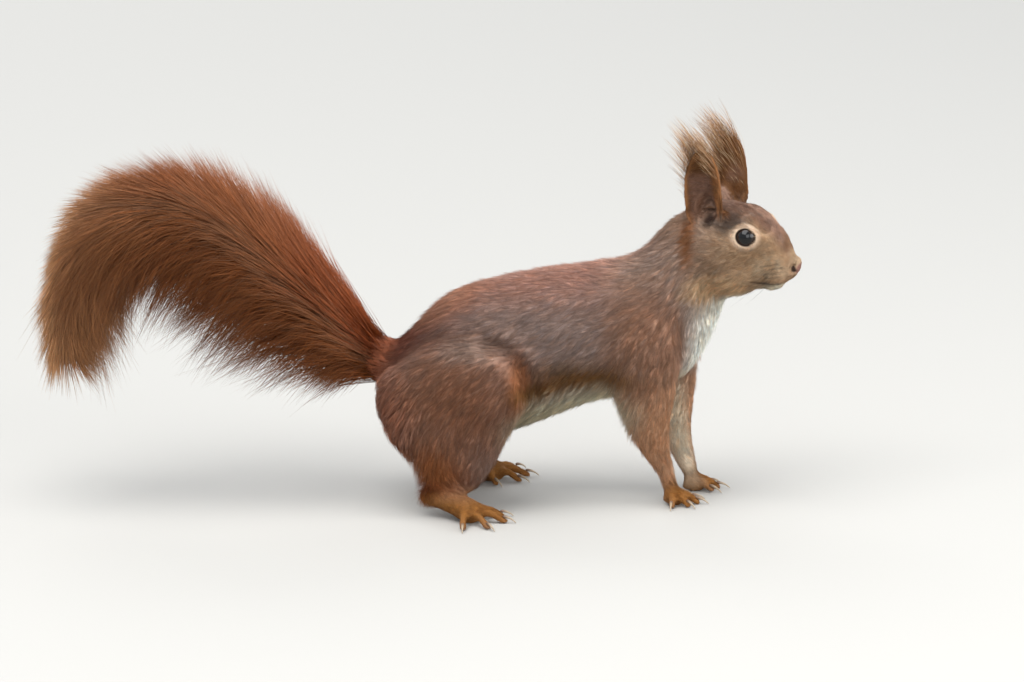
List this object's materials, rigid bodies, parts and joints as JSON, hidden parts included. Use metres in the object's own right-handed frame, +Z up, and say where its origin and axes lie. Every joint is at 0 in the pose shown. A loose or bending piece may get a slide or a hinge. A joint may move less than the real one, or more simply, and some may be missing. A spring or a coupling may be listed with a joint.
{
  "type": "red squirrel",
  "caption": "Life-size still model of a red squirrel on all fours, head turned a little, tufted ears up and bushy tail arched behind it.",
  "frame": {"origin": "middle of the model's box, on the floor under the paws", "axes": "+X towards the nose, +Y to the squirrel's left, +Z up"},
  "size_m": [0.3536, 0.1188, 0.182],
  "materials": {
    "coat": "short dense fur, chestnut above and cream below",
    "tail_hair": "long loose chestnut hair",
    "ear": "thin haired skin with a long tuft",
    "paw": "very short orange-brown fur",
    "eye": "wet and glossy",
    "claw": "smooth horn"
  },
  "bodies": {
    "root": {"head": "coat", "neck": "coat", "trunk": "coat", "tail_root": "tail_hair", "tail_middle": "tail_hair", "tail_arch": "tail_hair", "tail_tip": "tail_hair", "ear_right": "ear", "eye_right": "eye", "thigh_right": "coat", "shank_right": "coat", "upper_arm_right": "coat", "forearm_right": "coat", "hind_paw_right": "paw", "fore_paw_right": "paw", "claw_hind_right_1": "claw", "claw_hind_right_2": "claw", "claw_hind_right_3": "claw", "claw_hind_right_4": "claw", "claw_hind_right_5": "claw", "claw_fore_right_1": "claw", "claw_fore_right_2": "claw", "claw_fore_right_3": "claw", "claw_fore_right_4": "claw", "ear_left": "ear", "eye_left": "eye", "thigh_left": "coat", "shank_left": "coat", "upper_arm_left": "coat", "forearm_left": "coat", "hind_paw_left": "paw", "fore_paw_left": "paw", "claw_hind_left_1": "claw", "claw_hind_left_2": "claw", "claw_hind_left_3": "claw", "claw_hind_left_4": "claw", "claw_hind_left_5": "claw", "claw_fore_left_1": "claw", "claw_fore_left_2": "claw", "claw_fore_left_3": "claw", "claw_fore_left_4": "claw"}
  },
  "joints": []
}
